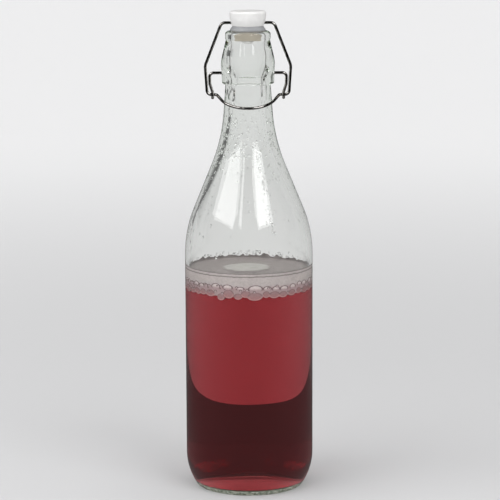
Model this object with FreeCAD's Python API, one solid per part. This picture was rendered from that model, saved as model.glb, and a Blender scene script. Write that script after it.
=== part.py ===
import FreeCAD, Part
import math
import os
from FreeCAD import Vector

# A swing top bottle, part full of a red drink with froth on it.
# The origin is the middle of the foot ring, +Z is up, and -Y is the front, where the thumb arc is.
# All sizes are in millimetres.

# Bottle body
body_radius = 42.0
body_wall = 2.4
body_height = 171.1
heel_height = 22.0
foot_radius = 35.0
foot_ring_width = 3.0
push_up = 4.5
floor_thickness = 3.8
foot_thickness = 4.2

# Shoulder and neck: the cone runs between two corners that large arcs round off
shoulder_rise = 60.7
shoulder_round = 80.0
neck_corner_radius = 17.1
neck_sweep = 110.0
neck_corner_wall = 6.1
neck_length = 35.6
neck_radius = 14.75

# Collar, groove and lip
collar_height = 28.4
collar_foot_radius = 16.85
collar_corner_radius = 17.6
collar_corner_height = 14.6
collar_round = 22.0
collar_edge_round = 0.9
groove_radius = 14.35
groove_round = 1.5
lip_height = 5.7
bead_rise = 1.2
lip_radius = 14.8
lip_round = 2.0
bore_radius = 10.9
bore_edge_round = 0.7
bore_bulge = 1.5
bore_bulge_rise = 7.3
bore_ledge_radius = 9.6
bore_ledge_rise = 4.5
bore_ledge_round = 3.0

# Side dimples that carry the links
dimple_height = 7.0
dimple_depth = 3.4
dimple_clearance = 0.2
dimple_end_gap = 0.3
dimple_mouth_radius = 2.3
dimple_mouth_depth = 1.7

# Stopper and sealing ring
head_height = 9.7
head_radius = 12.1
head_waist_radius = 11.5
head_waist_height = 4.0
head_foot_radius = 10.2
head_round = 1.5
head_side_round = 12.0
head_foot_round = 0.4
stem_radius = 3.5
stem_tip_length = 4.3
stem_tip_round = 0.9
barb_height = 0.8
barb_length = 2.2
barb_gap = 0.1
ring_height = 3.3
ring_top_radius = 9.9
ring_radius = 11.5
ring_rim = 1.1
ring_round = 0.5
ring_bore_clearance = 0.05
seal_gap = 0.12
plug_depth = 5.0
plug_clearance = 0.3
plug_taper = 2.4

# Wires
wire_diameter = 1.9
wire_bore_clearance = 0.08
wire_bore_height = 2.0
wire_end = 4.0
wire_end_gap = 0.5
link_length = 14.2
link_offset = 7.4
link_bend = 2.6
hook_clearance = 0.12
hook_rise = 1.3
link_knee_rise = 6.9
link_knee_back = 1.2
link_knee_inset = 0.15
hook_tail = 1.4
arm_gap = 0.9
arm_knee_rise = 4.8
arm_knee_bend = 7.0
arm_top_reach = 4.9
arm_top_bend = 3.4
arm_foot_bend = 2.8
arm_foot_reach = 3.5
pivot_inset = 2.66
thumb_corner = 1.8
thumb_bend = 1.7
thumb_slope = 22.5
thumb_clearance = 0.6

# Contents
drink_height = 134.0
froth_height = 12.4
content_gap = 0.15

# Straight runs shorter than this are left out of a path
smallest_run = 0.000001

# Heights and radii that follow from the sizes above
wire_radius = wire_diameter / 2
neck_corner_z = body_height + shoulder_rise
collar_z = neck_corner_z + neck_length
groove_z = collar_z + collar_height
lip_z = groove_z + lip_height
dimple_z = collar_z + dimple_height
dimple_radius = wire_radius + dimple_clearance
hook_z = dimple_z - link_length
head_z = lip_z + seal_gap + ring_height
stopper_axis_z = head_z + wire_bore_height
head_top_z = head_z + head_height
plug_z = lip_z - plug_depth
heel_radius = ((body_radius - foot_radius) ** 2 + heel_height ** 2) / (2 * (body_radius - foot_radius))
heel_center = body_radius - heel_radius


def line(start, end):
    return Part.LineSegment(start, end).toShape()


def run(start, end):
    """The straight run between two arcs, none where one arc goes straight into the next."""
    return [line(start, end)] if start.distanceToPoint(end) > smallest_run else []


def rounded_path(corners):
    """Straight runs from corner to corner, each given as (point, radius), joined by tangent arcs."""
    edges = []
    start = corners[0][0]
    for before, corner, after in zip(corners, corners[1:], corners[2:]):
        point, radius = corner
        if radius == 0:
            edges += run(start, point)
            start = point
            continue
        back = (before[0] - point).normalize()
        ahead = (after[0] - point).normalize()
        half_angle = back.getAngle(ahead) / 2
        cut = radius / math.tan(half_angle)
        inset = radius / math.sin(half_angle) - radius
        arc_end = point + ahead * cut
        arc_middle = point + (back + ahead).normalize() * inset
        edges += run(start, point + back * cut)
        edges.append(Part.Arc(point + back * cut, arc_middle, arc_end).toShape())
        start = arc_end
    return edges + run(start, corners[-1][0])


def outline(*corners):
    """A rounded path in the X-Z plane from (radius, height) or (radius, height, round) corners."""
    return rounded_path([(Vector(c[0], 0, c[1]), c[2] if len(c) > 2 else 0) for c in corners])


def turned(edges):
    """The solid that a closed outline in the X-Z plane makes about the Z axis."""
    face = Part.Face(Part.Wire(edges))
    return face.revolve(Vector(0, 0, 0), Vector(0, 0, 1), 360)


def dome(radius, edge_z, top_z):
    """A shallow arc from the axis at top_z down to the radius at edge_z."""
    rise = top_z - edge_z
    sphere = (radius ** 2 + rise ** 2) / (2 * rise)
    middle = radius / 2
    middle_z = top_z - sphere + math.sqrt(sphere ** 2 - middle ** 2)
    return Part.Arc(Vector(0, 0, top_z), Vector(middle, 0, middle_z), Vector(radius, 0, edge_z)).toShape()


def heel(inset, low_z):
    """The heel arc, inset from the outside, from low_z up to where it meets the straight side."""
    radius = heel_radius - inset
    low_angle = math.asin((heel_height - low_z) / radius)
    points = []
    for angle in (low_angle, low_angle / 2, 0):
        points.append(Vector(heel_center + radius * math.cos(angle), 0, heel_height - radius * math.sin(angle)))
    return Part.Arc(*points).toShape()


def cavity_floor(gap):
    """The inside of the base and heel, drawn in by a gap, from the axis to the straight side."""
    rim_z = foot_thickness + gap
    side = heel(body_wall + gap, rim_z)
    rim = side.Vertexes[0].Point
    return [dome(rim.x, rim_z, push_up + floor_thickness + gap), side]


def collar_radius_at(height):
    """The collar's outside radius at a height above its foot, below its corner."""
    share = height / collar_corner_height
    return collar_foot_radius + (collar_corner_radius - collar_foot_radius) * share


def neck_radius_at(z):
    """The neck's outside radius at a height, on the straight run under the collar."""
    share = (collar_z - z) / neck_length
    return neck_radius + (neck_corner_radius - neck_radius) * share


def glass_bottle():
    foot_inner = foot_radius - foot_ring_width
    inner_side = body_radius - body_wall
    bulge_z = collar_z + collar_corner_height
    bottom = [dome(foot_inner, 0, push_up)]
    bottom.append(line(Vector(foot_inner, 0, 0), Vector(foot_radius, 0, 0)))
    bottom.append(heel(0, 0))
    wall = outline(
        (body_radius, heel_height),
        (body_radius, body_height, shoulder_round),
        (neck_corner_radius, neck_corner_z, neck_sweep),
        (neck_radius, collar_z),
        (collar_foot_radius, collar_z, collar_edge_round),
        (collar_corner_radius, bulge_z, collar_round),
        (groove_radius, groove_z, groove_round),
        (lip_radius, groove_z + bead_rise, groove_round),
        (lip_radius, lip_z, lip_round),
        (bore_radius, lip_z, bore_edge_round),
        (bore_radius, bulge_z + bore_bulge_rise, collar_round),
        (bore_radius + bore_bulge, bulge_z, collar_round),
        (bore_ledge_radius, collar_z + bore_ledge_rise, bore_ledge_round),
        (neck_corner_radius - neck_corner_wall, neck_corner_z, neck_sweep),
        (inner_side, body_height, shoulder_round),
        (inner_side, heel_height),
    )
    floor = cavity_floor(0)
    axis = line(Vector(0, 0, push_up), Vector(0, 0, push_up + floor_thickness))
    glass = turned(Part.__sortEdges__(bottom + wall + floor + [axis]))
    for side in (1, -1):
        glass = glass.cut(dimple(side))
    return glass


def dimple(side):
    """What one dimple takes out of the collar: a round hole with a cone at its mouth."""
    surface = collar_radius_at(dimple_height)
    out = Vector(side, 0, 0)
    hole_start = Vector(side * (surface - dimple_depth), 0, dimple_z)
    cone_start = Vector(side * (surface - dimple_mouth_depth), 0, dimple_z)
    hole = Part.makeCylinder(dimple_radius, collar_corner_radius, hole_start, out)
    spread = (dimple_mouth_radius - dimple_radius) / dimple_mouth_depth
    cone_length = 2 * dimple_mouth_depth
    cone = Part.makeCone(dimple_radius, dimple_radius + spread * cone_length, cone_length, cone_start, out)
    return hole.fuse(cone)


def drink_fill():
    radius = body_radius - body_wall - content_gap
    floor_z = push_up + floor_thickness + content_gap
    top = outline((radius, heel_height), (radius, drink_height), (0, drink_height), (0, floor_z))
    return turned(Part.__sortEdges__(cavity_floor(content_gap) + top))


def foam_layer():
    radius = body_radius - body_wall - content_gap
    return Part.makeCylinder(radius, froth_height, Vector(0, 0, drink_height))


def stopper_head():
    barb_z = plug_z - barb_gap
    tip_z = plug_z - stem_tip_length
    edges = outline(
        (0, tip_z),
        (stem_radius, tip_z, stem_tip_round),
        (stem_radius, barb_z - barb_length),
        (stem_radius + barb_height, barb_z),
        (stem_radius, barb_z),
        (stem_radius, head_z),
        (head_foot_radius, head_z, head_foot_round),
        (head_waist_radius, head_z + head_waist_height, head_side_round),
        (head_radius, head_top_z, head_round),
        (0, head_top_z),
        (0, tip_z),
    )
    head = turned(edges)
    bore = wire_radius + wire_bore_clearance
    for side in (1, -1):
        start = Vector(side * (wire_end - wire_end_gap), 0, stopper_axis_z)
        head = head.cut(Part.makeCylinder(bore, 2 * head_radius, start, Vector(side, 0, 0)))
    return head


def gasket():
    bore = stem_radius + ring_bore_clearance
    rim_z = lip_z + seal_gap
    plug_top = bore_radius - plug_clearance
    edges = outline(
        (bore, plug_z),
        (plug_top - plug_taper, plug_z, ring_round),
        (plug_top, rim_z),
        (ring_radius, rim_z, ring_round),
        (ring_radius, rim_z + ring_rim, ring_round),
        (ring_top_radius, head_z),
        (bore, head_z),
        (bore, plug_z),
    )
    return turned(edges)


def wire(corners):
    """Round wire along a rounded path."""
    path = Part.Wire(rounded_path(corners))
    start = corners[0][0]
    section = Part.Circle(start, corners[1][0] - start, wire_radius).toShape()
    return path.makePipeShell([Part.Wire(section)], True, False)


# Places of the wires on the right-hand side, X positive
link_x = collar_corner_radius + link_offset
thumb_z = hook_z - (neck_radius + wire_radius + thumb_clearance) * math.tan(math.radians(thumb_slope))
thumb_reach = neck_radius_at(thumb_z) + wire_radius + thumb_clearance
thumb_radius = thumb_reach / math.cos(math.radians(thumb_slope))
thumb_corner_x = thumb_radius + thumb_corner
hook_x = thumb_corner_x + pivot_inset
arm_foot_x = hook_x + arm_foot_reach
arm_knee_x = link_x + wire_diameter + arm_gap
arm_top_x = head_radius + arm_top_reach
hook_radius = wire_diameter + hook_clearance


def lever_bail():
    """One wire: out of the stopper, down both sides, through the links' hooks and round the front.

    The thumb arc lies in a plane that slopes down to the front from the hooks' axis. Its centre is on
    the bottle's axis, and its two tangents from the thumb corners meet at a tip far in front.
    """
    tangent_angle = math.acos(thumb_radius / thumb_corner_x)
    tip = thumb_radius / math.sin(tangent_angle)
    slope = math.radians(thumb_slope)
    right = [
        (Vector(wire_end, 0, stopper_axis_z), 0),
        (Vector(arm_top_x, 0, stopper_axis_z), arm_top_bend),
        (Vector(arm_knee_x, 0, dimple_z + arm_knee_rise), arm_knee_bend),
        (Vector(arm_foot_x, 0, hook_z), arm_foot_bend),
        (Vector(thumb_corner_x, 0, hook_z), thumb_bend),
    ]
    front = (Vector(0, -tip * math.cos(slope), hook_z - tip * math.sin(slope)), thumb_radius)
    left = [(Vector(-point.x, point.y, point.z), bend) for point, bend in reversed(right)]
    return wire(right + [front] + left)


def link(side):
    """A short wire: out of the dimple, down behind the lever wire, and hooked up in front of it."""
    pivot_end = collar_radius_at(dimple_height) - dimple_depth + dimple_end_gap
    hook_bottom = hook_z - hook_radius
    return wire([
        (Vector(side * pivot_end, 0, dimple_z), 0),
        (Vector(side * link_x, 0, dimple_z), link_bend),
        (Vector(side * (link_x - link_knee_inset), link_knee_back, hook_z + link_knee_rise), link_bend),
        (Vector(side * hook_x, hook_radius, hook_z + hook_rise), link_bend),
        (Vector(side * hook_x, hook_radius, hook_bottom), hook_radius),
        (Vector(side * hook_x, -hook_radius, hook_bottom), hook_radius),
        (Vector(side * hook_x, -hook_radius, hook_z + hook_tail), 0),
    ])


nodes = {
    "glass_bottle": glass_bottle(),
    "drink_fill": drink_fill(),
    "foam_layer": foam_layer(),
    "stopper_head": stopper_head(),
    "gasket": gasket(),
    "lever_bail": lever_bail(),
    "left_link": link(-1),
    "right_link": link(1),
}

os.makedirs("parts", exist_ok=True)
for name, shape in nodes.items():
    shape.exportStep(os.path.join("parts", name + ".step"))
    print(name, len(shape.Solids), "solid", shape.isValid(), round(shape.Volume, 1), "mm3")
print("hook axis", round(hook_z, 3), "dimple axis", round(dimple_z, 3))
print("stopper axis", round(stopper_axis_z, 3))
print("overall height", round(head_top_z, 3), "lip", round(lip_z, 3))
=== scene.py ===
import math
import random

import bpy
from mathutils import Matrix, Vector, noise


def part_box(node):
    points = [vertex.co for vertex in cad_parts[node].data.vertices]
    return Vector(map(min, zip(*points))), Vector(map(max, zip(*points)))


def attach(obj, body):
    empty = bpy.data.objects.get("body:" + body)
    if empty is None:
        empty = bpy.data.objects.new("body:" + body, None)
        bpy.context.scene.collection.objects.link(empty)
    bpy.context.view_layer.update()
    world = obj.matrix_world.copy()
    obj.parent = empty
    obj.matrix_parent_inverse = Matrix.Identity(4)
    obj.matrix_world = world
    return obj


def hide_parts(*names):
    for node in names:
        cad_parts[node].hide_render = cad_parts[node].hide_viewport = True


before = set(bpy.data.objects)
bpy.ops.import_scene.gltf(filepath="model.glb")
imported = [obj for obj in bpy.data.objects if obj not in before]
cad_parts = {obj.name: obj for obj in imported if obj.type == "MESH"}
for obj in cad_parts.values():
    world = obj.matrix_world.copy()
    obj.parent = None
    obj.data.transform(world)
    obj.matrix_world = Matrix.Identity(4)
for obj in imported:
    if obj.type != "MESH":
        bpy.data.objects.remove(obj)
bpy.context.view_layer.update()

# A swing top bottle, part full of a red drink with froth on it, on a pale floor in soft light.
# Profiles are lists of (radius, height) in millimetres about the Z axis; MM turns them into metres.
MM = 0.001
SEED = 11
WIRE_RADIUS = 0.95

# Sizes that come from the solids
BODY_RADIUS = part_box("glass_bottle")[1].x / MM
LIP_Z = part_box("glass_bottle")[1].z / MM
DRINK_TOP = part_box("drink_fill")[1].z / MM
FROTH_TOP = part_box("foam_layer")[1].z / MM
PIVOT_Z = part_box("right_link")[1].z / MM - WIRE_RADIUS

# Glass
GLASS_SEGMENTS = 384
GLASS_SHARP = 35
BODY_WALL = 2.4
NECK_CORNER_WALL = 6.1
HEEL_Z = 22.0
FOOT_RADIUS = 35.0
FOOT_INNER = 32.0
FOOT_EDGE = 1.2
PUSH_UP = 4.5
FLOOR_Z = 8.3
RIM_Z = 4.2
HEEL_RADIUS = ((BODY_RADIUS - FOOT_RADIUS) ** 2 + HEEL_Z ** 2) / (2 * (BODY_RADIUS - FOOT_RADIUS))
HEEL_CENTER = BODY_RADIUS - HEEL_RADIUS
INNER_RADIUS = BODY_RADIUS - BODY_WALL
COLLAR_Z = LIP_Z - 34.1
COLLAR_BELLY_Z = COLLAR_Z + 14.6
COLLAR_ROUND = 22.0
NECK_Z = COLLAR_Z - 35.6
NECK_RADIUS = 17.1
NECK_ROUND = 110.0
SHOULDER_Z = NECK_Z - 60.7
SHOULDER_ROUND = 80.0
LIP_RADIUS = 14.8
BORE_RADIUS = 10.9
BORE_EDGE_Z = LIP_Z - 3
DIMPLE_MOUTH = 2.3
DIMPLE_RADIUS = 1.15
DIMPLE_FLOOR = 13.8
DIMPLE_THROAT = 15.6
DIMPLE_BRIM = 17.7
DIMPLE_CUT_END = 20.0
KNURLS = 96
KNURL_DEPTH = 0.16
OUTSIDE_INSET = 0.02
WALL_WAVE = 0.22
WAVE_SCALE = 0.045
WAVE_STRETCH = 0.7
WAVE_FADE = 12.0
EVEN_TOP = 9.0
RIPPLE = 0.7
RIPPLE_SCALE = 0.3
RIPPLE_SIDE = 0.6
RIPPLE_BELOW = 13.0
RIPPLE_ABOVE = 11.0
FROST_Z = 2.6
FROST_INNER = FOOT_INNER - 2

# Contents
CONTENT_SEGMENTS = 640
CONTENT_OVERLAP = 0.15
FROTH_OVERLAP = 0.1
FROTH_SKIN = 0.25
EDGE_WIDTH = 5.0
EDGE_FADE = 1.5
LEVEL_SLACK = 0.01
FILM_RISE = 2.6
FILM_LEAST = 0.4
FILM_FOOT = 0.12
FILM_WIDTH = 2.0
ISLAND_X = -1.3
ISLAND_Y = -1.5
ISLAND_WIDE = 15.0
ISLAND_DEEP = 15.5
ISLAND_RISE = 0.4
# How far to the front the painted shade by the island's edge is moved
ISLAND_SHADE = 6.0

# Bubbles; a pair is the least and the most of a value
UPPER_RISE = 5.2
UPPER_SIZES = [(1.3, 1.9), (1.8, 2.6), (2.6, 3.6)]
LOWER_RISE = 1.2
LOWER_SIZES = [(1.3, 1.9), (1.8, 2.6), (2.6, 3.4)]
FRONT_WIDE = 1.12
FRONT_TALL = 1.06
FRONT_GAP_RIGHT = 5.5
FRONT_GAP_LEFT = 3.0
BUBBLE_FLATNESS = (0.6, 0.8)
BUBBLE_PITCH = (0.92, 1.04)
BUBBLE_SHIFT = 0.6
FINE_BUBBLES = 90
FINE_SIZE = (0.55, 1.1)
FINE_RISE = (1.5, 6.5)
FINE_FLATNESS = 0.9
FINE_LEFT_TURN = -62
FINE_LEFT_SPREAD = 14
BUBBLE_DENT = 0.1
BUBBLE_LINE = 0.5
BUBBLE_DEEP = 0.8
BUBBLE_SUNK = 0.2
BUBBLE_LIFT = 0.02
LOWER_LIFT = 0.1
FINE_LIFT = 0.2
LIFT_STEP = 0.01
LIFT_STEPS = 9
BUBBLE_STEPS = 28
BUBBLE_RINGS = (0.25, 0.5, 0.6, 0.7, 0.8, 0.88, 0.94, 0.98, 1.0)
BUBBLE_BACK_RINGS = (0.85, 0.5)

# Droplets; turns are in radians from the front, to the right
DROPLETS = 480
DROPLET_SIZE = (0.3, 0.8)
DROPLET_TALL = (1.0, 1.7)
DROPLET_DEEP = 0.65
DROPLET_OUT = 0.1
HIGH_SHARE = 0.4
HIGH_Z = SHOULDER_Z + 56
HIGH_SPREAD = 10.0
HIGH_TURN = 1.5
LEFT_SHARE = 0.65
LEFT_TURN = -1.3
LEFT_SPREAD = 0.2
STREAK_SHARE = 0.8
STREAK_TURN = 0.42
STREAK_SPREAD = 0.045
STREAK_TALL = 50.0
RIM_DROPLETS = 70
RIM_DROPLET_SIZE = (0.3, 0.9)
RIM_DROPLET_RISE = (0.2, 1.5)
RIM_DROPLET_SPREAD = 0.9

# Colours and clearness: a tint colours light that passes through, a density says how soon
WHITE = (1, 1, 1)
GLASS_COLOR = (0.985, 0.99, 0.985)
GLASS_TINT = (0.35, 0.6, 0.3)
GLASS_DENSITY = 6
GLASS_IOR = 1.52
DRINK_COLOR = (0.99, 0.99, 0.99)
DRINK_TINT = (0.7, 0.04, 0.095)
DRINK_DENSITY = 45
DRINK_IOR = 1.34
WATER_COLOR = (0.98, 0.98, 0.98)
WATER_TINT = (0.9, 0.9, 0.9)
WATER_DENSITY = 1
WATER_IOR = 1.33
FROST_DARK = (0.16, 0.2, 0.13)
FROST_LIGHT = (0.9, 0.97, 0.8)
FROTH_GRAIN = (0.88, 0.87, 0.87)
FROTH_COLOR = (0.57, 0.515, 0.505)
FROTH_LOW_COLOR = (0.5, 0.37, 0.37)
# The froth's top colours, the island's too, paint it darker than its side as shade
FROTH_TOP_SHADE = (0.195, 0.172, 0.165)
FROTH_ISLAND_SHADED = (0.31, 0.3, 0.28)
# Dark of the film on the wall, also used as painted shade in the froth's lines and in front of its island
FILM_AND_SHADE_DARK = (0.12, 0.105, 0.1)
# Bubble colours: the pale one is a painted highlight, the dark and edge ones are painted shade, and the
# pink's shade and highlight are painted too
BUBBLE_HIGHLIGHT_PALE = (0.74, 0.66, 0.65)
BUBBLE_SHADE_DARK = (0.5, 0.375, 0.38)
BUBBLE_EDGE_SHADE = (0.2, 0.14, 0.145)
BUBBLE_PINK = (0.43, 0.23, 0.232)
BUBBLE_PINK_SHADE = (0.4, 0.25, 0.255)
BUBBLE_PINK_HIGHLIGHT = (0.6, 0.31, 0.307)
PLASTIC_DARK = (0.72, 0.715, 0.705)
PLASTIC_LIGHT = (0.76, 0.755, 0.745)
RUBBER_DARK = (0.27, 0.275, 0.285)
RUBBER_LIGHT = (0.33, 0.335, 0.345)
RUBBER_LOWER_BROWN = (0.46, 0.41, 0.33)
STEEL_DARK = (0.44, 0.41, 0.39)
STEEL_LIGHT = (0.6, 0.58, 0.56)


def arc_points(center, radius, start, end, steps):
    """Points on an arc about a center in the profile plane, both ends included."""
    points = []
    for step in range(steps + 1):
        angle = start + (end - start) * step / steps
        points.append((center[0] + radius * math.cos(angle), center[1] + radius * math.sin(angle)))
    return points


def spread(start, end, gap):
    """Points from one place to another, a gap apart at the most, without the last one."""
    length = math.hypot(end[0] - start[0], end[1] - start[1])
    steps = max(1, math.ceil(length / gap))
    points = []
    for step in range(steps):
        share = step / steps
        points.append((start[0] + (end[0] - start[0]) * share, start[1] + (end[1] - start[1]) * share))
    return points


def rounded(corners, gap=3.0, turn=math.radians(5)):
    """A profile through (radius, height, round) corners, each round a tangent arc."""
    points = []
    start = corners[0][:2]
    for before, corner, after in zip(corners, corners[1:], corners[2:]):
        place = Vector(corner[:2])
        radius = corner[2] if len(corner) > 2 else 0
        if radius == 0:
            points += spread(start, place, gap)
            start = tuple(place)
            continue
        back = (Vector(before[:2]) - place).normalized()
        ahead = (Vector(after[:2]) - place).normalized()
        half = back.angle(ahead) / 2
        center = place + (back + ahead).normalized() * (radius / math.sin(half))
        first = place + back * (radius / math.tan(half)) - center
        last = place + ahead * (radius / math.tan(half)) - center
        sweep = first.angle_signed(last)
        begin = math.atan2(first.y, first.x)
        steps = max(2, math.ceil(abs(sweep) / turn), math.ceil(abs(sweep) * radius / gap))
        arc = arc_points(center, radius, begin, begin - sweep, steps)
        points += spread(start, arc[0], gap)
        points += arc[:-1]
        start = arc[-1]
    points += spread(start, corners[-1][:2], gap)
    points.append(tuple(corners[-1][:2]))
    return points


def dome(radius, edge_z, top_z, steps=14):
    """A shallow arc from the axis at top_z out to the radius at edge_z."""
    rise = top_z - edge_z
    sphere = (radius ** 2 + rise ** 2) / (2 * rise)
    points = []
    for step in range(steps + 1):
        reach = radius * step / steps
        points.append((reach, top_z - sphere + math.sqrt(sphere ** 2 - reach ** 2)))
    return points


def smooth(share):
    """Zero below zero, one above one, and a soft step between."""
    share = min(1.0, max(0.0, share))
    return share * share * (3 - 2 * share)


def mesh_object(name, places, faces, sharp=40):
    """A smooth shaded object from places in millimetres."""
    mesh = bpy.data.meshes.new(name)
    mesh.from_pydata([Vector(place) * MM for place in places], [], faces)
    mesh.update()
    mesh.shade_smooth()
    mesh.set_sharp_from_angle(angle=math.radians(sharp))
    piece = bpy.data.objects.new(name, mesh)
    bpy.context.scene.collection.objects.link(piece)
    return piece


def turned(name, profile, segments, shape=None, sharp=40):
    """A profile with both ends on the axis, turned about Z; shape moves each (radius, height, turn)."""
    places = [(0, 0, profile[0][1])]
    rings = profile[1:-1]
    for index, (radius, height) in enumerate(rings):
        for step in range(segments):
            turn = 2 * math.pi * step / segments
            r, z = shape(index + 1, radius, height, turn) if shape else (radius, height)
            places.append((r * math.sin(turn), -r * math.cos(turn), z))
    places.append((0, 0, profile[-1][1]))
    last = len(places) - 1
    faces = []
    for step in range(segments):
        after = (step + 1) % segments
        faces.append((0, 1 + after, 1 + step))
        for ring in range(len(rings) - 1):
            low = 1 + ring * segments
            high = low + segments
            faces.append((low + step, low + after, high + after, high + step))
        top = 1 + (len(rings) - 1) * segments
        faces.append((top + step, top + after, last))
    return mesh_object(name, places, faces, sharp)


# Profiles of the glass

def heel(inset, low_z, steps=12):
    """The heel arc, inset from the outside, from low_z up to the straight side."""
    radius = HEEL_RADIUS - inset
    low = -math.asin((HEEL_Z - low_z) / radius)
    return arc_points((HEEL_CENTER, HEEL_Z), radius, low, 0, steps)


def outer_profile():
    """The outside, from the axis under the base to the top of the bore's edge."""
    corners = [(FROST_INNER, 0.5), (FOOT_INNER, 0, 2.0), (FOOT_RADIUS, 0, FOOT_EDGE), heel(0, 0)[1]]
    foot = rounded(corners, 0.7)
    wall = rounded([
        (BODY_RADIUS, HEEL_Z),
        (BODY_RADIUS, SHOULDER_Z, SHOULDER_ROUND),
        (NECK_RADIUS, NECK_Z, NECK_ROUND),
        (14.75, COLLAR_Z),
        (16.85, COLLAR_Z, 0.9),
        (17.6, COLLAR_BELLY_Z, COLLAR_ROUND),
        (14.35, COLLAR_Z + 28.4, 1.5),
        (LIP_RADIUS, COLLAR_Z + 29.6, 1.5),
        (LIP_RADIUS, LIP_Z, 2.0),
        (BORE_RADIUS, LIP_Z, 0.7),
        (BORE_RADIUS, BORE_EDGE_Z),
    ])
    return dome(FOOT_INNER, 0, PUSH_UP)[:-2] + foot[:-1] + heel(0, 0)[1:-1] + wall


def inner_profile():
    """The inside, from the bore down to the axis over the base."""
    wall = rounded([
        (BORE_RADIUS, BORE_EDGE_Z),
        (BORE_RADIUS, COLLAR_Z + 21.9, COLLAR_ROUND),
        (12.4, COLLAR_BELLY_Z, COLLAR_ROUND),
        (9.6, COLLAR_Z + 4.5, 3),
        (NECK_RADIUS - NECK_CORNER_WALL, NECK_Z, NECK_ROUND),
        (INNER_RADIUS, SHOULDER_Z, SHOULDER_ROUND),
        (INNER_RADIUS, HEEL_Z),
    ], 1.2)
    return wall + inner_floor()


def inner_floor():
    """The inside of the heel and base, from the straight side to the axis."""
    side = heel(BODY_WALL, RIM_Z)
    return side[-2::-1] + dome(side[0][0], RIM_Z, FLOOR_Z)[-2::-1]


OUTER = outer_profile()
INNER = inner_profile()


def wave(radius, height, turn, scale=WAVE_SCALE):
    """A slow unevenness between -1 and 1 at a place on the wall."""
    place = Vector((radius * math.sin(turn), -radius * math.cos(turn), height * WAVE_STRETCH))
    return noise.noise(place * scale)


def inner_shift(radius, height, turn):
    """How far the inner wall stands off its even shape."""
    fade = min(1.0, max(0.0, (LIP_Z - EVEN_TOP - height) / WAVE_FADE))
    shift = WALL_WAVE * fade * wave(radius, height, turn)
    beside = smooth((abs(math.sin(turn)) - RIPPLE_SIDE) / 0.3)
    near = smooth((height - COLLAR_Z + RIPPLE_BELOW) / 4) * smooth((COLLAR_Z + RIPPLE_ABOVE - height) / 3)
    if beside * near > 0:
        shift += RIPPLE * beside * near * wave(radius, height, turn, RIPPLE_SCALE)
    return shift


def glass_shape(index, radius, height, turn):
    """The glass surface: an uneven inside, and an outside with fine knurls round the foot."""
    if index >= len(OUTER):
        return radius + inner_shift(radius, height, turn), height
    knurl = 0.0
    if FOOT_RADIUS - 0.5 < radius and height < FROST_Z:
        knurl = KNURL_DEPTH * (0.5 - 0.5 * math.cos(KNURLS * turn))
    return radius - knurl - OUTSIDE_INSET, height


def dimple_cutter(side):
    """The pit that one link pivots in: a cone at the mouth and a round hole behind it."""
    profile = [(0, DIMPLE_FLOOR), (DIMPLE_RADIUS, DIMPLE_FLOOR), (DIMPLE_RADIUS, DIMPLE_THROAT)]
    profile += [(DIMPLE_MOUTH, DIMPLE_BRIM), (DIMPLE_MOUTH, DIMPLE_CUT_END), (0, DIMPLE_CUT_END)]
    cutter = turned("dimple_cutter", profile, 32)
    cutter.data.transform(Matrix.Rotation(side * math.pi / 2, 4, "Y"))
    cutter.data.transform(Matrix.Translation((0, 0, PIVOT_Z * MM)))
    return cutter


def cut(piece, cutter):
    """Takes the cutter's shape out of the piece."""
    step = piece.modifiers.new("cut", "BOOLEAN")
    step.object = cutter
    step.solver = "EXACT"
    step.operation = "DIFFERENCE"
    graph = bpy.context.evaluated_depsgraph_get()
    mesh = bpy.data.meshes.new_from_object(piece.evaluated_get(graph))
    piece.modifiers.clear()
    piece.data = mesh
    bpy.data.objects.remove(cutter)


def make_glass():
    """The bottle's glass, with a dimple cut into each side of its collar."""
    glass = turned("bottle_glass", OUTER + INNER[1:], GLASS_SEGMENTS, glass_shape, GLASS_SHARP)
    for side in (1, -1):
        cut(glass, dimple_cutter(side))
    glass.data.shade_smooth()
    glass.data.set_sharp_from_angle(angle=math.radians(GLASS_SHARP))
    return glass


# Contents

def content_side():
    """The contents' side and floor, a little into the glass so that no air shows between them."""
    points = []
    for radius, height in inner_floor():
        points.append((radius + CONTENT_OVERLAP if radius > 0 else 0, height - CONTENT_OVERLAP))
    return points


def bubble(turn, height, half_width, half_height):
    """A bubble against the wall; turn is in degrees from the front, to the right."""
    return {
        "turn": math.radians(turn),
        "height": height,
        "half_width": half_width,
        "half_height": half_height,
    }


# The large bubbles at the front, by their turn, height over the drink, half width and half height
FRONT_UPPER = [
    (-44, 5.5, 2.2, 1.7),
    (-32, 5.7, 3.0, 2.2),
    (-20, 5.6, 3.2, 2.0),
    (-8, 5.0, 2.6, 1.5),
    (6, 4.9, 4.4, 2.5),
    (17, 4.8, 2.7, 1.8),
    (25.5, 4.4, 2.6, 1.8),
    (34, 4.2, 2.9, 1.9),
    (44, 4.6, 2.4, 2.0),
]
FRONT_LOWER = [
    (-54, 1.0, 2.0, 1.7),
    (-47, 1.4, 2.2, 1.8),
    (-38, 1.3, 3.0, 2.0),
    (-26.5, -0.6, 2.3, 2.0),
    (-19, 1.6, 3.2, 2.6),
    (-10, 0.2, 2.4, 1.8),
    (-3, 1.8, 2.8, 2.1),
    (5.5, 0.2, 4.4, 2.4),
    (16, 1.3, 2.1, 2.0),
    (24, 0.8, 3.3, 2.1),
    (33, 0.6, 2.7, 1.9),
    (43, 1.0, 2.6, 1.9),
    (52, 1.5, 2.0, 1.8),
]


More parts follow.
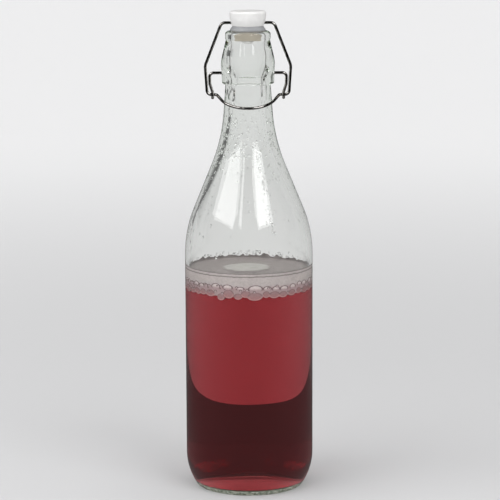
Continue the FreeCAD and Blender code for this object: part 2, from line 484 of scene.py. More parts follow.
def bubble_row(rng, front, height, sizes):
    """The front's large bubbles, and smaller ones side by side round the rest of the wall."""
    row = []
    for turn, rise, wide, tall in front:
        row.append(bubble(turn, DRINK_TOP + rise, FRONT_WIDE * wide, FRONT_TALL * tall))
    turn = front[-1][0] + FRONT_GAP_RIGHT
    while turn < 360 + front[0][0] - FRONT_GAP_LEFT:
        half_width = rng.uniform(*rng.choice(sizes))
        half_turn = math.degrees(half_width / INNER_RADIUS)
        half_height = half_width * rng.uniform(*BUBBLE_FLATNESS)
        place = height + rng.uniform(-BUBBLE_SHIFT, BUBBLE_SHIFT)
        row.append(bubble(turn + half_turn, place, half_width, half_height))
        turn += 2 * half_turn * rng.uniform(*BUBBLE_PITCH)
    return row


def make_bubbles_list():
    """The ring of bubbles along the wall: a pale row, a lower row in the drink, and fine ones between."""
    rng = random.Random(SEED)
    upper = bubble_row(rng, FRONT_UPPER, DRINK_TOP + UPPER_RISE, UPPER_SIZES)
    lower = bubble_row(rng, FRONT_LOWER, DRINK_TOP + LOWER_RISE, LOWER_SIZES)
    fine = []
    for index in range(FINE_BUBBLES):
        size = rng.uniform(*FINE_SIZE)
        height = DRINK_TOP + rng.uniform(*FINE_RISE)
        turn = rng.uniform(0, 360) if index % 3 else rng.gauss(FINE_LEFT_TURN, FINE_LEFT_SPREAD)
        fine.append(bubble(turn, height, size, size * FINE_FLATNESS))
    return upper, lower, fine


UPPER_BUBBLES, LOWER_BUBBLES, FINE_BUBBLE_LIST = make_bubbles_list()


def drink_edge(turn):
    """The height of the drink at the wall, pressed down under each of the lower bubbles."""
    level = DRINK_TOP
    for ball in LOWER_BUBBLES:
        away = (turn - ball["turn"] + math.pi) % (2 * math.pi) - math.pi
        share = away * INNER_RADIUS / (ball["half_width"] + BUBBLE_DENT)
        if abs(share) < 1:
            below = (ball["half_height"] + BUBBLE_DENT) * math.sqrt(1 - share ** 2)
            level = min(level, ball["height"] - below)
    return level


def film_rise(turn):
    """How far the wet film over the froth climbs the wall: even in front, ragged at the back."""
    place = Vector((math.sin(turn), -math.cos(turn), 0))
    even = 1 + 0.06 * noise.noise(place * 12)
    ragged = 0.62 + 0.75 * noise.noise(place * 9) + 0.4 * noise.noise(place * 24)
    front = min(1.0, max(0.0, (math.cos(turn) + 0.3) / 0.2))
    return FILM_RISE * max(FILM_LEAST, ragged + (even - ragged) * front)


def content_shape(edge_z):
    """Moves the contents with the uneven wall, their edge with the bubbles and the film with its rise."""
    edges = {}
    films = {}

    def shape(index, radius, height, turn):
        if radius > INNER_RADIUS and height > HEEL_Z:
            radius += inner_shift(INNER_RADIUS, height, turn)
        if abs(height - edge_z) < LEVEL_SLACK and radius > INNER_RADIUS - EDGE_WIDTH:
            if turn not in edges:
                edges[turn] = drink_edge(turn) - DRINK_TOP
            height += edges[turn] * min(1.0, (radius - INNER_RADIUS + EDGE_WIDTH) / EDGE_FADE)
        if height > FROTH_TOP + LEVEL_SLACK:
            if turn not in films:
                films[turn] = film_rise(turn) / FILM_RISE
            height = FROTH_TOP + (height - FROTH_TOP) * films[turn]
        elif radius < INNER_RADIUS - 3 and height > FROTH_TOP - 1:
            height += island_share(radius * math.sin(turn), -radius * math.cos(turn)) * ISLAND_RISE
        return radius, height
    return shape


def island_share(x, y, ahead=0.0):
    """One on the paler island of froth near the middle, zero outside it; ahead moves it to the front."""
    reach = math.hypot((x - ISLAND_X) / ISLAND_WIDE, (y - ISLAND_Y + ahead) / ISLAND_DEEP)
    reach += 0.12 * noise.noise(Vector((x, y, 0)) * 0.17) + 0.05 * noise.noise(Vector((x, y, 3)) * 0.6)
    return smooth((1.04 - reach) / 0.08)


def mix(first, last, share):
    """A colour part of the way from the first to the last."""
    return tuple(a + (b - a) * share for a, b in zip(first, last))


def make_drink():
    """The drink, with an edge that the lower bubbles press down."""
    side = INNER_RADIUS + CONTENT_OVERLAP
    profile = [(reach, DRINK_TOP) for reach in (0, 12, 26, side - 5, side - 3, side - 1, side)]
    profile += spread((side, DRINK_TOP - 4), (side, HEEL_Z), 4)
    profile += content_side()
    return turned("drink", profile[::-1], CONTENT_SEGMENTS, content_shape(DRINK_TOP), sharp=60)


def make_froth():
    """The froth over the drink, with a thin wet film that climbs the wall round its top."""
    side = INNER_RADIUS + FROTH_OVERLAP
    low = DRINK_TOP - FROTH_OVERLAP
    film = FROTH_TOP + FILM_RISE
    profile = [(reach, low) for reach in (0, 20, side - 5, side - 3, side - 1, side)]
    profile += spread((side, low + 0.5), (side, FROTH_TOP - 0.8), 0.5)
    profile += spread((side, FROTH_TOP - 0.8), (side, film), 0.2)
    profile += [(side, film), (side - 0.4, film - 0.1)]
    profile += [(side - 0.45, FROTH_TOP + 1.6), (side - 0.5, FROTH_TOP + 1.0)]
    profile += [(side - 0.65, FROTH_TOP + 0.5), (side - 1.0, FROTH_TOP + 0.2)]
    profile += spread((side - 1.8, FROTH_TOP), (1, FROTH_TOP), 0.9)
    profile += [(0, FROTH_TOP)]
    froth = turned("froth", profile, CONTENT_SEGMENTS, content_shape(low), sharp=60)
    paint(froth, [froth_color(point.co / MM) for point in froth.data.vertices])
    return froth


def paint(piece, colors):
    """Stores one colour for each point of a piece, which its material reads."""
    layer = piece.data.attributes.new("tint", "FLOAT_COLOR", "POINT")
    flat = []
    for color in colors:
        flat += [*color, 1.0]
    layer.data.foreach_set("color", flat)


def froth_color(place):
    """The froth's colour: pale against the glass with two dark lines of painted shade, greyer on top as
    painted shade, and painted shade in front of the island.
    """
    turn = math.atan2(place.x, -place.y)
    rise = place.z - FROTH_TOP
    reach = math.hypot(place.x, place.y)
    if reach > INNER_RADIUS - FROTH_SKIN:
        return froth_side_color(turn, rise)
    patch = noise.noise(place * 0.25)
    if rise > FILM_FOOT and reach > INNER_RADIUS - FILM_WIDTH:
        return mix(FILM_AND_SHADE_DARK, FROTH_TOP_SHADE, smooth(0.5 + 1.2 * patch) * 0.5)
    island = island_share(place.x, place.y)
    # Painted shade along the island's front edge
    shade = island_share(place.x, place.y, ISLAND_SHADE) * (1 - island)
    color = mix(FROTH_TOP_SHADE, FROTH_ISLAND_SHADED, island)
    color = mix(color, FILM_AND_SHADE_DARK, (0.4 + 0.8 * abs(patch)) * shade)
    return tuple(part * (1 + 0.16 * patch) for part in color)


def froth_side_color(turn, rise):
    """The side against the glass, with two lines of painted shade: one at the film's edge, a ragged one at
    the froth's level.
    """
    place = Vector((math.sin(turn), -math.cos(turn), 0)) * INNER_RADIUS
    ragged = 0.2 * noise.noise(place * 0.35) + 0.25 * noise.noise(place * 1.1)
    # Painted shade: dark lines where the film and the froth meet the glass
    upper = math.exp(-((rise - film_rise(turn) + 0.25) / 0.3) ** 2)
    lower = math.exp(-((rise - 0.45 - ragged) / (0.3 + 0.5 * abs(ragged))) ** 2)
    color = mix(FROTH_COLOR, FROTH_LOW_COLOR, smooth((-rise - 5.2) / 2.6))
    patch = noise.noise(Vector((place.x, place.y, rise)) * 0.3)
    color = tuple(part * (1 + 0.08 * patch) for part in color)
    return mix(color, FILM_AND_SHADE_DARK, min(1.0, 0.85 * max(upper, lower)))


def ball_places(steps, rings):
    """Directions over a ball and the faces between them."""
    places = [(0, 0, -1)]
    for ring in range(1, rings):
        tilt = math.pi * ring / rings
        for step in range(steps):
            turn = 2 * math.pi * step / steps
            reach = math.sin(tilt)
            places.append((reach * math.cos(turn), reach * math.sin(turn), -math.cos(tilt)))
    places.append((0, 0, 1))
    return places, cap_faces(steps, rings - 1)


def cap_faces(steps, rings):
    """Faces between a first point, rings of points and a last point."""
    last = 1 + steps * rings
    faces = []
    for step in range(steps):
        after = (step + 1) % steps
        faces.append((0, 1 + after, 1 + step))
        for ring in range(rings - 1):
            low = 1 + ring * steps
            faces.append((low + step, low + after, low + steps + after, low + steps + step))
        top = 1 + (rings - 1) * steps
        faces.append((top + step, top + after, last))
    return faces


def bubble_sphere():
    """A unit bubble: its (across, up, depth) points, closest towards the outline, and its faces."""
    rings = [(ring, math.sqrt(1 - ring ** 2)) for ring in BUBBLE_RINGS]
    rings += [(ring, -math.sqrt(1 - ring ** 2)) for ring in BUBBLE_BACK_RINGS]
    points = [(0.0, 0.0, 1.0)]
    for ring, depth in rings:
        for step in range(BUBBLE_STEPS):
            angle = -2 * math.pi * step / BUBBLE_STEPS
            points.append((ring * math.cos(angle), ring * math.sin(angle), depth))
    points.append((0.0, 0.0, -1.0))
    return points, cap_faces(BUBBLE_STEPS, len(rings))


def bubble_places(ball, points, lift):
    """Where the points of one bubble lie, pressed flat against the wall where they would pass it."""
    deep = BUBBLE_DEEP * ball["half_height"]
    middle = INNER_RADIUS + lift - BUBBLE_SUNK * deep
    out = Vector((math.sin(ball["turn"]), -math.cos(ball["turn"]), 0))
    along = Vector((math.cos(ball["turn"]), math.sin(ball["turn"]), 0))
    places = []
    for across, up, depth in points:
        place = out * (middle + depth * deep) + along * (across * ball["half_width"])
        height = ball["height"] + up * ball["half_height"]
        turn = math.atan2(place.x, -place.y)
        limit = INNER_RADIUS + lift + inner_shift(INNER_RADIUS, height, turn)
        place *= min(1.0, limit / math.hypot(place.x, place.y))
        places.append((place.x, place.y, height))
    return places


def bubble_color(ball, point, low_row):
    """Upper and fine bubbles: painted shade at the outline and over the lower half, a painted highlight
    over the upper half; the lower row is pink, in painted shade at the top with a painted highlight along
    its bottom.
    """
    across, up = point[:2]
    reach = math.hypot(across, up)
    thick = BUBBLE_LINE / ball["half_height"]
    outline = smooth((reach - 1 + 1.4 * thick) / (0.8 * thick))
    if low_row:
        fill = mix(BUBBLE_PINK_SHADE, BUBBLE_PINK, smooth(0.5 - 0.9 * up))
        line = mix(mix(BUBBLE_EDGE_SHADE, BUBBLE_PINK_SHADE, 0.5), BUBBLE_PINK_HIGHLIGHT, smooth(0.3 - 1.6 * up))
    else:
        fill = mix(BUBBLE_SHADE_DARK, BUBBLE_HIGHLIGHT_PALE, smooth(0.55 + 1.4 * up))
        line = mix(BUBBLE_EDGE_SHADE, BUBBLE_SHADE_DARK, smooth(-1.5 * up))
    return mix(fill, line, outline)


def make_bubbles():
    """All the bubbles of the ring in one piece, each lifted a little so that no two faces coincide."""
    points, ball_faces = bubble_sphere()
    places = []
    faces = []
    colors = []
    rows = [
        (UPPER_BUBBLES, False, 0.0),
        (LOWER_BUBBLES, True, LOWER_LIFT),
        (FINE_BUBBLE_LIST, False, FINE_LIFT),
    ]
    for row, low_row, row_lift in rows:
        for number, ball in enumerate(row):
            lift = CONTENT_OVERLAP + BUBBLE_LIFT + row_lift + LIFT_STEP * (number % LIFT_STEPS)
            base = len(places)
            places += bubble_places(ball, points, lift)
            faces += [tuple(base + corner for corner in face) for face in ball_faces]
            # Each bubble's colours carry painted shade and painted highlights
            colors += [bubble_color(ball, point, low_row) for point in points]
    bubbles = mesh_object("froth_bubbles", places, faces, sharp=80)
    paint(bubbles, colors)
    return bubbles


def inner_wall_at(height):
    """The inner wall's even radius and its lean from upright at a height over the contents."""
    for high, low in zip(INNER, INNER[1:]):
        if low[1] <= height <= high[1] and high[1] > low[1]:
            share = (height - low[1]) / (high[1] - low[1])
            radius = low[0] + (high[0] - low[0]) * share
            return radius, math.atan2(low[0] - high[0], high[1] - low[1])
    return INNER_RADIUS, 0.0


def droplet_spots(rng):
    """Where drops hang: many high up and at the left, a streak at the right, a line over the froth."""
    spots = []
    for _ in range(DROPLETS):
        share = rng.random()
        height = rng.uniform(FROTH_TOP + 10, NECK_Z + 20)
        turn = rng.uniform(-math.pi, math.pi)
        if share < HIGH_SHARE:
            height = rng.gauss(HIGH_Z, HIGH_SPREAD)
            turn = rng.uniform(-HIGH_TURN, HIGH_TURN)
        elif share < LEFT_SHARE:
            turn = rng.gauss(LEFT_TURN, LEFT_SPREAD)
        elif share < STREAK_SHARE:
            height = rng.uniform(SHOULDER_Z, SHOULDER_Z + STREAK_TALL)
            turn = rng.gauss(STREAK_TURN, STREAK_SPREAD)
        spots.append((turn, height, rng.uniform(*DROPLET_SIZE)))
    for _ in range(RIM_DROPLETS):
        height = FROTH_TOP + FILM_RISE * rng.uniform(*RIM_DROPLET_RISE)
        turn = math.pi + rng.gauss(0, RIM_DROPLET_SPREAD)
        spots.append((turn, height, rng.uniform(*RIM_DROPLET_SIZE)))
    return spots


def make_droplets():
    """Drops on the inside of the glass, a little taller than wide, in one piece."""
    rng = random.Random(SEED + 1)
    ball, ball_faces = ball_places(10, 6)
    places = []
    faces = []
    for turn, height, size in droplet_spots(rng):
        radius, lean = inner_wall_at(height)
        radius += inner_shift(radius, height, turn)
        out = Vector((math.sin(turn) * math.cos(lean), -math.cos(turn) * math.cos(lean), math.sin(lean)))
        along = Vector((math.cos(turn), math.sin(turn), 0))
        up = along.cross(out)
        middle = Vector((radius * math.sin(turn), -radius * math.cos(turn), height))
        middle += out * DROPLET_OUT * size
        tall = size * rng.uniform(*DROPLET_TALL)
        base = len(places)
        for x, y, z in ball:
            places.append(middle + along * (x * size) + out * (y * size * DROPLET_DEEP) + up * (z * tall))
        faces += [tuple(base + corner for corner in face) for face in ball_faces]
    return mesh_object("droplets", places, faces, sharp=80)


# Materials

def new_material(name):
    """A material with its nodes, its links and its shader."""
    material = bpy.data.materials.new(name)
    material.use_nodes = True
    nodes = material.node_tree.nodes
    return material, nodes, material.node_tree.links, nodes["Principled BSDF"]


def absorb(material, color, density):
    """Tints what light passes through inside the piece."""
    nodes = material.node_tree.nodes
    volume = nodes.new("ShaderNodeVolumeAbsorption")
    volume.inputs["Color"].default_value = (*color, 1)
    volume.inputs["Density"].default_value = density
    material.node_tree.links.new(volume.outputs["Volume"], nodes["Material Output"].inputs["Volume"])


def noise_ramp(nodes, links, scale, dark, light, low=0.35, high=0.65):
    """A colour that varies slowly over the piece, in its own coordinates."""
    place = nodes.new("ShaderNodeTexCoord")
    texture = nodes.new("ShaderNodeTexNoise")
    texture.inputs["Scale"].default_value = scale
    texture.inputs["Detail"].default_value = 4
    links.new(place.outputs["Object"], texture.inputs["Vector"])
    ramp = nodes.new("ShaderNodeValToRGB")
    ramp.color_ramp.elements[0].position = low
    ramp.color_ramp.elements[0].color = (*dark, 1)
    ramp.color_ramp.elements[1].position = high
    ramp.color_ramp.elements[1].color = (*light, 1)
    links.new(texture.outputs["Fac"], ramp.inputs["Fac"])
    return texture, ramp


def clear_material(name, ior, color, tint, density, mirror=1.0):
    """A clear piece, of glass, drink or water; mirror is how strongly its surface reflects."""
    material, nodes, links, shader = new_material(name)
    shader.inputs["Transmission Weight"].default_value = 1
    shader.inputs["IOR"].default_value = ior
    shader.inputs["Roughness"].default_value = 0
    shader.inputs["Specular Tint"].default_value = (mirror, mirror, mirror, 1)
    _, ramp = noise_ramp(nodes, links, scale=40, dark=color, light=WHITE)
    links.new(ramp.outputs["Color"], shader.inputs["Base Color"])
    absorb(material, tint, density)
    return material


def froth_material():
    """Fine milky foam in the colours that its pieces store at their points, painted shade and highlights
    among them.
    """
    material, nodes, links, shader = new_material("pale_froth")
    shader.inputs["Roughness"].default_value = 0.6
    shader.inputs["Specular IOR Level"].default_value = 0.3
    stored = nodes.new("ShaderNodeAttribute")
    stored.attribute_name = "tint"
    _, ramp = noise_ramp(nodes, links, scale=900, dark=FROTH_GRAIN, light=WHITE)
    grain = nodes.new("ShaderNodeMix")
    grain.data_type = "RGBA"
    grain.blend_type = "MULTIPLY"
    grain.inputs["Factor"].default_value = 1
    links.new(stored.outputs["Color"], grain.inputs["A"])
    links.new(ramp.outputs["Color"], grain.inputs["B"])
    links.new(grain.outputs["Result"], shader.inputs["Base Color"])
    return material


def glass_material():
    """Clear glass, whose points store how much of a mirror the surface is."""
    material = clear_material("clear_glass", GLASS_IOR, GLASS_COLOR, GLASS_TINT, GLASS_DENSITY)
    nodes = material.node_tree.nodes
    stored = nodes.new("ShaderNodeAttribute")
    stored.attribute_name = "tint"
    material.node_tree.links.new(stored.outputs["Color"], nodes["Principled BSDF"].inputs["Specular Tint"])
    return material


def wet_inside(vertex):
    """White on a dry surface, black where the contents wet the inside and leave no mirror image."""
    place = vertex.co / MM
    inward = place.x * vertex.normal.x + place.y * vertex.normal.y < 0
    floor = vertex.normal.z > 0.5 and math.hypot(place.x, place.y) < INNER_RADIUS
    wet = (inward or floor) and FROST_Z < place.z < FROTH_TOP
    return (0.0, 0.0, 0.0) if wet else (1.0, 1.0, 1.0)


def foot_material():
    """The frosted ring that the bottle stands on, mottled green."""
    material, nodes, links, shader = new_material("frosted_foot")
    shader.inputs["Transmission Weight"].default_value = 0.5
    shader.inputs["IOR"].default_value = GLASS_IOR
    shader.inputs["Roughness"].default_value = 0.2
    _, ramp = noise_ramp(nodes, links, scale=500, dark=FROST_DARK, light=FROST_LIGHT)
    links.new(ramp.outputs["Color"], shader.inputs["Base Color"])
    return material


def frost_foot(glass):
    """Gives the ring under the heel its frosted finish."""
    glass.data.materials.append(foot_material())
    for face in glass.data.polygons:
        reach = math.hypot(face.center.x, face.center.y) / MM
        if face.center.z / MM < FROST_Z and FROST_INNER < reach:
            face.material_index = 1


def plastic_material():
    """White plastic with a faint grain."""
    material, nodes, links, shader = new_material("white_plastic")
    shader.inputs["Roughness"].default_value = 0.38
    texture, ramp = noise_ramp(nodes, links, scale=220, dark=PLASTIC_DARK, light=PLASTIC_LIGHT)
    links.new(ramp.outputs["Color"], shader.inputs["Base Color"])
    bump = nodes.new("ShaderNodeBump")
    bump.inputs["Strength"].default_value = 0.05
    bump.inputs["Distance"].default_value = 0.0004
    links.new(texture.outputs["Fac"], bump.inputs["Height"])
    links.new(bump.outputs["Normal"], shader.inputs["Normal"])
    return material


def rubber_material():
    """Grey rubber, brown along its lower edge below the lip's top."""
    material, nodes, links, shader = new_material("grey_rubber")
    shader.inputs["Roughness"].default_value = 0.5
    _, ramp = noise_ramp(nodes, links, scale=300, dark=RUBBER_DARK, light=RUBBER_LIGHT)
    # Brown below the lip's top, grey above it
    lower_brown = nodes.new("ShaderNodeMix")
    lower_brown.data_type = "RGBA"
    lower_brown.inputs["A"].default_value = (*RUBBER_LOWER_BROWN, 1)
    place = nodes.new("ShaderNodeTexCoord")
    split = nodes.new("ShaderNodeSeparateXYZ")
    links.new(place.outputs["Object"], split.inputs["Vector"])
    rise = nodes.new("ShaderNodeMapRange")
    rise.inputs["From Min"].default_value = (LIP_Z - 0.2) * MM
    rise.inputs["From Max"].default_value = (LIP_Z + 0.6) * MM
    links.new(split.outputs["Z"], rise.inputs["Value"])
    links.new(rise.outputs["Result"], lower_brown.inputs["Factor"])
    links.new(ramp.outputs["Color"], lower_brown.inputs["B"])
    links.new(lower_brown.outputs["Result"], shader.inputs["Base Color"])
    return material


def steel_material():
    """Bright steel wire, a little uneven in its grey."""
    material, nodes, links, shader = new_material("steel_wire")
    shader.inputs["Metallic"].default_value = 1
    shader.inputs["Roughness"].default_value = 0.15
    _, ramp = noise_ramp(nodes, links, scale=400, dark=STEEL_DARK, light=STEEL_LIGHT)
    links.new(ramp.outputs["Color"], shader.inputs["Base Color"])
    return material


def give(piece, material):
    """Gives a piece one material."""
    piece.data.materials.clear()
    piece.data.materials.append(material)


# Stage, in metres

COVE_REACH = 2.6
COVE_BEND = 0.9
COVE_TOP = 2.6
COVE_FLAT_STEPS = 14
COVE_BEND_STEPS = 12
COVE_SEGMENTS = 96
COVE_COLOR = (0.58, 0.58, 0.585)
COVE_GLOW_START = 0.15
COVE_GLOW_END = 1.8
COVE_GLOW = 0.4

WALL_Y = 0.231
WALL_SIDE = 0.5
WALL_FADE = 0.22
WALL_GLOW = 0.73
LOW_WALL_TOP = 0.1
LOW_WALL_SIDE_GLOW = 0.48
WALL_TOP = 0.6
HIGH_WALL_SIDE_GLOW = 0.68

# Two darker patches of the backdrop by name; then left, right, low and high; then the two places
# along the card between which its glow changes, and the glow at each
FLAG_AHEAD = 0.002
FLAGS = [
    ("upper_flag", (-0.423, -0.088, 0.235, 0.343), (0.0695, 0.1675, 0.14, 0.7)),
    ("lower_flag", (-0.221, -0.163, 0.187, 0.235), (-0.0055, 0.029, 0.2, 0.665)),
]

TABLE_Z = 0.0004
TABLE_SIDE = 0.55
TABLE_FRONT = 0.28
TABLE_FADE_START = 0.6
TABLE_GLOW = 0.125
TABLE_OUTER_GLOW = 0.55
TABLE_EDGE_Y = 0.07
TABLE_EDGE_WIDTH = 0.6
TABLE_EDGE_TALL = 0.02

VEIL_REACH = 0.25
VEIL_TALL = 0.1
VEIL_Z = 0.0003
VEIL_FRONT = 0.12
VEIL_BACK = 0.1
VEIL_GLOW = 0.2
VEIL_SIDE_GLOW = 0.11

EDGE_SIZE = 2.0
EDGE_Y = 1.05
EDGE_Z = 0.0002
EDGE_LEFT_GLOW = 0.1
EDGE_RIGHT_GLOW = 0.12

# The windows by name, azimuth, width and radiance
WINDOWS = [
    ("window_left", -59, 1.08, 3.4),
    ("window_right", 36.5, 0.62, 4.4),
    ("window_strip", -17.5, 0.105, 2.5),
]
WINDOW_ELEVATION = 36
WINDOW_DISTANCE = 1.2
WINDOW_TALL = 0.51
TOP_LIGHT_DISTANCE = 1.5
TOP_LIGHT_SIZE = 1.6
TOP_LIGHT_RADIANCE = 1.3
LIGHT_AIM = Vector((0, 0, 0.2))
WORLD_GLOW = 0.35


def plain_material(name, color, strength=0.0):
    """A matt material for the stage, which glows white at the given strength."""
    material, _, _, shader = new_material(name)
    shader.inputs["Base Color"].default_value = (*color, 1)
    shader.inputs["Roughness"].default_value = 0.9
    shader.inputs["Specular IOR Level"].default_value = 0.0
    shader.inputs["Emission Color"].default_value = (1, 1, 1, 1)
    shader.inputs["Emission Strength"].default_value = strength
    return material


def card(name, center, width, height, aim, material):
    """A flat stage card that faces a place; the camera doesn't see it."""
    half_w = width / 2
    half_h = height / 2
    mesh = bpy.data.meshes.new(name)
    corners = [(-half_w, -half_h, 0), (half_w, -half_h, 0), (half_w, half_h, 0), (-half_w, half_h, 0)]
    mesh.from_pydata(corners, [], [(0, 1, 2, 3)])
    piece = bpy.data.objects.new(name, mesh)
    bpy.context.scene.collection.objects.link(piece)
    piece.location = center
    piece.rotation_mode = "QUATERNION"
    piece.rotation_quaternion = (Vector(aim) - Vector(center)).to_track_quat("Z", "Y")
    mesh.materials.append(material)
    piece.visible_camera = False
    return piece


def cove_profile():
    """The pale floor's profile: flat, then a bend, then upright."""
    flat = COVE_REACH - COVE_BEND
    profile = [(flat * step / COVE_FLAT_STEPS, 0) for step in range(COVE_FLAT_STEPS + 1)]
    for step in range(1, COVE_BEND_STEPS + 1):
        angle = math.pi / 2 * step / COVE_BEND_STEPS
        profile.append((flat + COVE_BEND * math.sin(angle), COVE_BEND - COVE_BEND * math.cos(angle)))
    profile.append((COVE_REACH, COVE_TOP))
    return profile


def cove_material():
    """Pale and matt, with a glow that grows away from the bottle."""
    material = plain_material("floor_pale", COVE_COLOR)
    nodes = material.node_tree.nodes
    links = material.node_tree.links
    place = nodes.new("ShaderNodeTexCoord")
    away = nodes.new("ShaderNodeVectorMath")
    away.operation = "LENGTH"
    glow = nodes.new("ShaderNodeMapRange")
    glow.interpolation_type = "SMOOTHSTEP"
    glow.inputs["From Min"].default_value = COVE_GLOW_START
    glow.inputs["From Max"].default_value = COVE_GLOW_END
    glow.inputs["To Min"].default_value = 0.0
    glow.inputs["To Max"].default_value = COVE_GLOW
    links.new(place.outputs["Object"], away.inputs[0])
    links.new(away.outputs["Value"], glow.inputs["Value"])
    links.new(glow.outputs["Result"], nodes["Principled BSDF"].inputs["Emission Strength"])
    return material


def make_cove():
    """A round pale floor that curves up all round."""
    profile = cove_profile()
    places = []
    for radius, height in profile:
        for step in range(COVE_SEGMENTS):
            turn = 2 * math.pi * step / COVE_SEGMENTS
            places.append((radius * math.sin(turn), -radius * math.cos(turn), height))
    faces = []
    for ring in range(len(profile) - 1):
        low = ring * COVE_SEGMENTS
        high = low + COVE_SEGMENTS
        for step in range(COVE_SEGMENTS):
            after = (step + 1) % COVE_SEGMENTS
            faces.append((low + step, low + after, high + after, high + step))
    mesh = bpy.data.meshes.new("floor")
    mesh.from_pydata(places, [], faces)
    mesh.shade_smooth()
    mesh.materials.append(cove_material())
    floor = bpy.data.objects.new("floor", mesh)
    bpy.context.scene.collection.objects.link(floor)
    floor.visible_glossy = False


def softbox(name, azimuth, elevation, distance, width, height, radiance):
    """A soft area light aimed at the shoulder; azimuth is from the camera's side, to the right."""
    a = math.radians(azimuth)
    e = math.radians(elevation)
    direction = Vector((math.sin(a) * math.cos(e), -math.cos(a) * math.cos(e), math.sin(e)))
    data = bpy.data.lights.new(name, "AREA")
    data.shape = "RECTANGLE"
    data.size = width
    data.size_y = height
    data.energy = radiance * math.pi * width * height
    lamp = bpy.data.objects.new(name, data)
    bpy.context.scene.collection.objects.link(lamp)
    lamp.location = LIGHT_AIM + direction * distance
    lamp.rotation_mode = "QUATERNION"
    lamp.rotation_quaternion = (-direction).to_track_quat("-Z", "Y")
    lamp.visible_camera = False
    return lamp


def light_card(name, center, width, height, aim, radiance):
    """A glowing card that only the glass and the wires see."""
    piece = card(name, center, width, height, aim, plain_material(name, (0, 0, 0), radiance))
    piece.visible_diffuse = False
    piece.visible_shadow = False
    return piece


def fade_card(piece, start, end, first, last, axis="X"):
    """Makes a card's glow change from first to last between two places along one of its own axes."""
    material = piece.data.materials[0]
    nodes = material.node_tree.nodes
    links = material.node_tree.links
    place = nodes.new("ShaderNodeTexCoord")
    split = nodes.new("ShaderNodeSeparateXYZ")
    links.new(place.outputs["Object"], split.inputs["Vector"])
    fade = nodes.new("ShaderNodeMapRange")
    fade.inputs["From Min"].default_value = start
    fade.inputs["From Max"].default_value = end
    fade.inputs["To Min"].default_value = first
    fade.inputs["To Max"].default_value = last
    links.new(split.outputs[axis], fade.inputs["Value"])
    links.new(fade.outputs["Result"], nodes["Principled BSDF"].inputs["Emission Strength"])


def fade_table(piece):
    """Lets the dark ground round the bottle fade out softly to both sides and to the front."""
    material = piece.data.materials[0]
    nodes = material.node_tree.nodes
    links = material.node_tree.links
    place = nodes.new("ShaderNodeNewGeometry")
    ahead = nodes.new("ShaderNodeVectorMath")
    ahead.operation = "MINIMUM"
    ahead.inputs[1].default_value = (1, 0, 0)
    share = nodes.new("ShaderNodeVectorMath")
    share.operation = "MULTIPLY"
    share.inputs[1].default_value = (1 / TABLE_SIDE, 1 / TABLE_FRONT, 0)
    reach = nodes.new("ShaderNodeVectorMath")
    reach.operation = "LENGTH"
    fade = nodes.new("ShaderNodeMapRange")
    fade.interpolation_type = "SMOOTHSTEP"
    fade.inputs["From Min"].default_value = TABLE_FADE_START
    fade.inputs["From Max"].default_value = 1
    fade.inputs["To Min"].default_value = TABLE_GLOW
    fade.inputs["To Max"].default_value = TABLE_OUTER_GLOW
    links.new(place.outputs["Position"], ahead.inputs[0])
    links.new(ahead.outputs["Vector"], share.inputs[0])
    links.new(share.outputs["Vector"], reach.inputs[0])
    links.new(reach.outputs["Value"], fade.inputs["Value"])
    links.new(fade.outputs["Result"], nodes["Principled BSDF"].inputs["Emission Strength"])


def through_card(name, center, width, height, aim, radiance):
    """A glowing card that shows through the glass but doesn't shine on its surface."""
    piece = light_card(name, center, width, height, aim, radiance)
    piece.visible_glossy = False
    return piece


def gloss_card(name, center, width, height, aim, radiance):
    """A glowing card that shines on surfaces but doesn't show through the glass."""
    piece = light_card(name, center, width, height, aim, radiance)
    piece.visible_transmission = False
    return piece


def wall_card(name, left, right, low, high, ahead=0.0):
    """A card on the backdrop behind the bottle, or a little ahead of it; its glow comes from a fade."""
    x = (left + right) / 2
    z = (low + high) / 2
    return through_card(name, (x, WALL_Y - ahead, z), right - left, high - low, (x, -1, z), 0.0)


def wall_pair(name, low, high, side_glow):
    """Two cards that let a strip of the backdrop fade from its middle to both sides."""
    left = wall_card(name + "_left", -WALL_SIDE, 0.0, low, high)
    fade_card(left, 0.0, WALL_FADE, side_glow, WALL_GLOW)
    right = wall_card(name + "_right", 0.0, WALL_SIDE, low, high)
    fade_card(right, -WALL_FADE, 0.0, WALL_GLOW, side_glow)


def make_backdrop():
    """What shows through the glass behind the bottle."""
    wall_pair("low_wall", 0.0, LOW_WALL_TOP, LOW_WALL_SIDE_GLOW)
    wall_pair("high_wall", LOW_WALL_TOP, WALL_TOP, HIGH_WALL_SIDE_GLOW)
    for name, sides, fade in FLAGS:
        fade_card(wall_card(name, *sides, FLAG_AHEAD), *fade)


def make_ground():
    """The dark ground that shows through the drink, and a low upright strip behind the foot."""
    z = TABLE_EDGE_TALL / 2
    place = (0, TABLE_EDGE_Y, z)
    through_card("table_edge", place, TABLE_EDGE_WIDTH, TABLE_EDGE_TALL, (0, -1, z), TABLE_GLOW)
    middle = (WALL_Y - TABLE_FRONT) / 2
    depth = WALL_Y + TABLE_FRONT
    fade_table(through_card("table", (0, middle, TABLE_Z), 2 * TABLE_SIDE, depth, (0, middle, 1), 0.0))


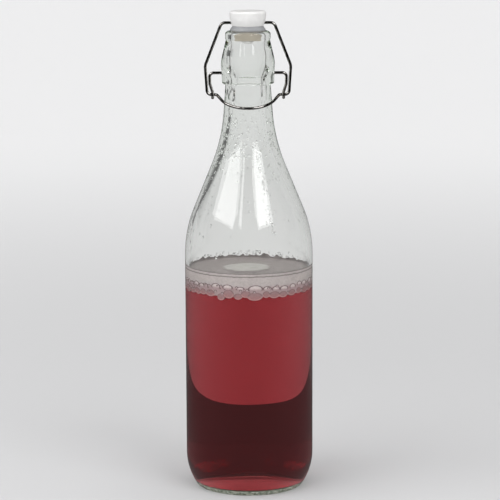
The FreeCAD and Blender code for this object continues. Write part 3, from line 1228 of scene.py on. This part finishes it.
def make_veils():
    """Faint cards round the foot and on the floor, which show only as reflections low on the glass."""
    width = 2 * VEIL_REACH
    z = VEIL_TALL / 2
    gloss_card("veil_front", (0, -VEIL_REACH, z), width, VEIL_TALL, (0, 1, z), VEIL_GLOW)
    veil = gloss_card("veil_left", (-VEIL_REACH, 0, z), width, VEIL_TALL, (1, 0, z), 0.0)
    fade_card(veil, -VEIL_FRONT, VEIL_BACK, VEIL_GLOW, VEIL_SIDE_GLOW)
    veil = gloss_card("veil_right", (VEIL_REACH, 0, z), width, VEIL_TALL, (-1, 0, z), 0.0)
    fade_card(veil, -VEIL_BACK, VEIL_FRONT, VEIL_SIDE_GLOW, VEIL_GLOW)
    veil = gloss_card("veil_floor", (0, 0, VEIL_Z), width, width, (0, 0, 1), 0.0)
    fade_card(veil, -VEIL_BACK, VEIL_FRONT, VEIL_SIDE_GLOW, VEIL_GLOW, "Y")
    x = EDGE_SIZE / 2
    gloss_card("edge_left", (-x, EDGE_Y, EDGE_Z), EDGE_SIZE, EDGE_SIZE, (-x, EDGE_Y, 1), EDGE_LEFT_GLOW)
    gloss_card("edge_right", (x, EDGE_Y, EDGE_Z), EDGE_SIZE, EDGE_SIZE, (x, EDGE_Y, 1), EDGE_RIGHT_GLOW)


def make_lights():
    """Three windows in front of the bottle, and a soft light above it that nothing mirrors."""
    for name, azimuth, width, radiance in WINDOWS:
        softbox(name, azimuth, WINDOW_ELEVATION, WINDOW_DISTANCE, width, WINDOW_TALL, radiance)
    size = TOP_LIGHT_SIZE
    top = softbox("top_light", 0, 90, TOP_LIGHT_DISTANCE, size, size, TOP_LIGHT_RADIANCE)
    top.visible_glossy = False


def make_world():
    """A faint even light from all round, which nothing mirrors."""
    world = bpy.data.worlds.new("studio")
    bpy.context.scene.world = world
    world.use_nodes = True
    world.node_tree.nodes["Background"].inputs["Color"].default_value = (1, 1, 1, 1)
    world.node_tree.nodes["Background"].inputs["Strength"].default_value = WORLD_GLOW
    world.cycles_visibility.glossy = False


# Camera

FOCAL_PIXELS = 2344
PHOTO_PIXELS = 500
SENSOR_WIDTH = 36
CAMERA_PLACE = (0.0008, -1.5189, 0.4307)
CAMERA_PITCH = math.radians(10.2)
CAMERA_ROLL = math.radians(-0.25)


def make_camera():
    """The camera in front of the bottle, looking down a little."""
    data = bpy.data.cameras.new("camera")
    data.sensor_width = SENSOR_WIDTH
    data.lens = SENSOR_WIDTH * FOCAL_PIXELS / PHOTO_PIXELS
    data.clip_start = 0.01
    data.clip_end = 20
    camera = bpy.data.objects.new("camera", data)
    bpy.context.scene.collection.objects.link(camera)
    tilt = Matrix.Rotation(math.pi / 2 - CAMERA_PITCH, 4, "X")
    roll = Matrix.Rotation(CAMERA_ROLL, 4, "Z")
    camera.matrix_world = Matrix.Translation(CAMERA_PLACE) @ tilt @ roll
    bpy.context.scene.camera = camera


def set_look():
    """Plain colours, and enough bounces for light to pass all the walls of the glass."""
    scene = bpy.context.scene
    scene.view_settings.view_transform = "Standard"
    scene.cycles.max_bounces = 32
    scene.cycles.transmission_bounces = 32
    scene.cycles.glossy_bounces = 16
    scene.cycles.transparent_max_bounces = 16


glass = make_glass()
drink = make_drink()
froth = make_froth()
bubbles = make_bubbles()
droplets = make_droplets()
paint(glass, [wet_inside(vertex) for vertex in glass.data.vertices])
give(glass, glass_material())
frost_foot(glass)
red_drink = clear_material("red_drink", DRINK_IOR, DRINK_COLOR, DRINK_TINT, DRINK_DENSITY, mirror=0.0)
give(drink, red_drink)
milky = froth_material()
give(froth, milky)
give(bubbles, milky)
water = clear_material("water_drops", WATER_IOR, WATER_COLOR, WATER_TINT, WATER_DENSITY)
give(droplets, water)
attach(bubbles, "bottle")
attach(droplets, "bottle")
glass.visible_shadow = False
droplets.visible_shadow = False
for piece, node in ((glass, "glass_bottle"), (drink, "drink_fill"), (froth, "foam_layer")):
    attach(piece, "bottle")
    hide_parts(node)

plastic = plastic_material()
rubber = rubber_material()
steel = steel_material()
give(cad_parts["stopper_head"], plastic)
give(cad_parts["gasket"], rubber)
for node in ("lever_bail", "left_link", "right_link"):
    give(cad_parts[node], steel)

make_cove()
make_backdrop()
make_ground()
make_veils()
make_lights()
make_world()
make_camera()
set_look()
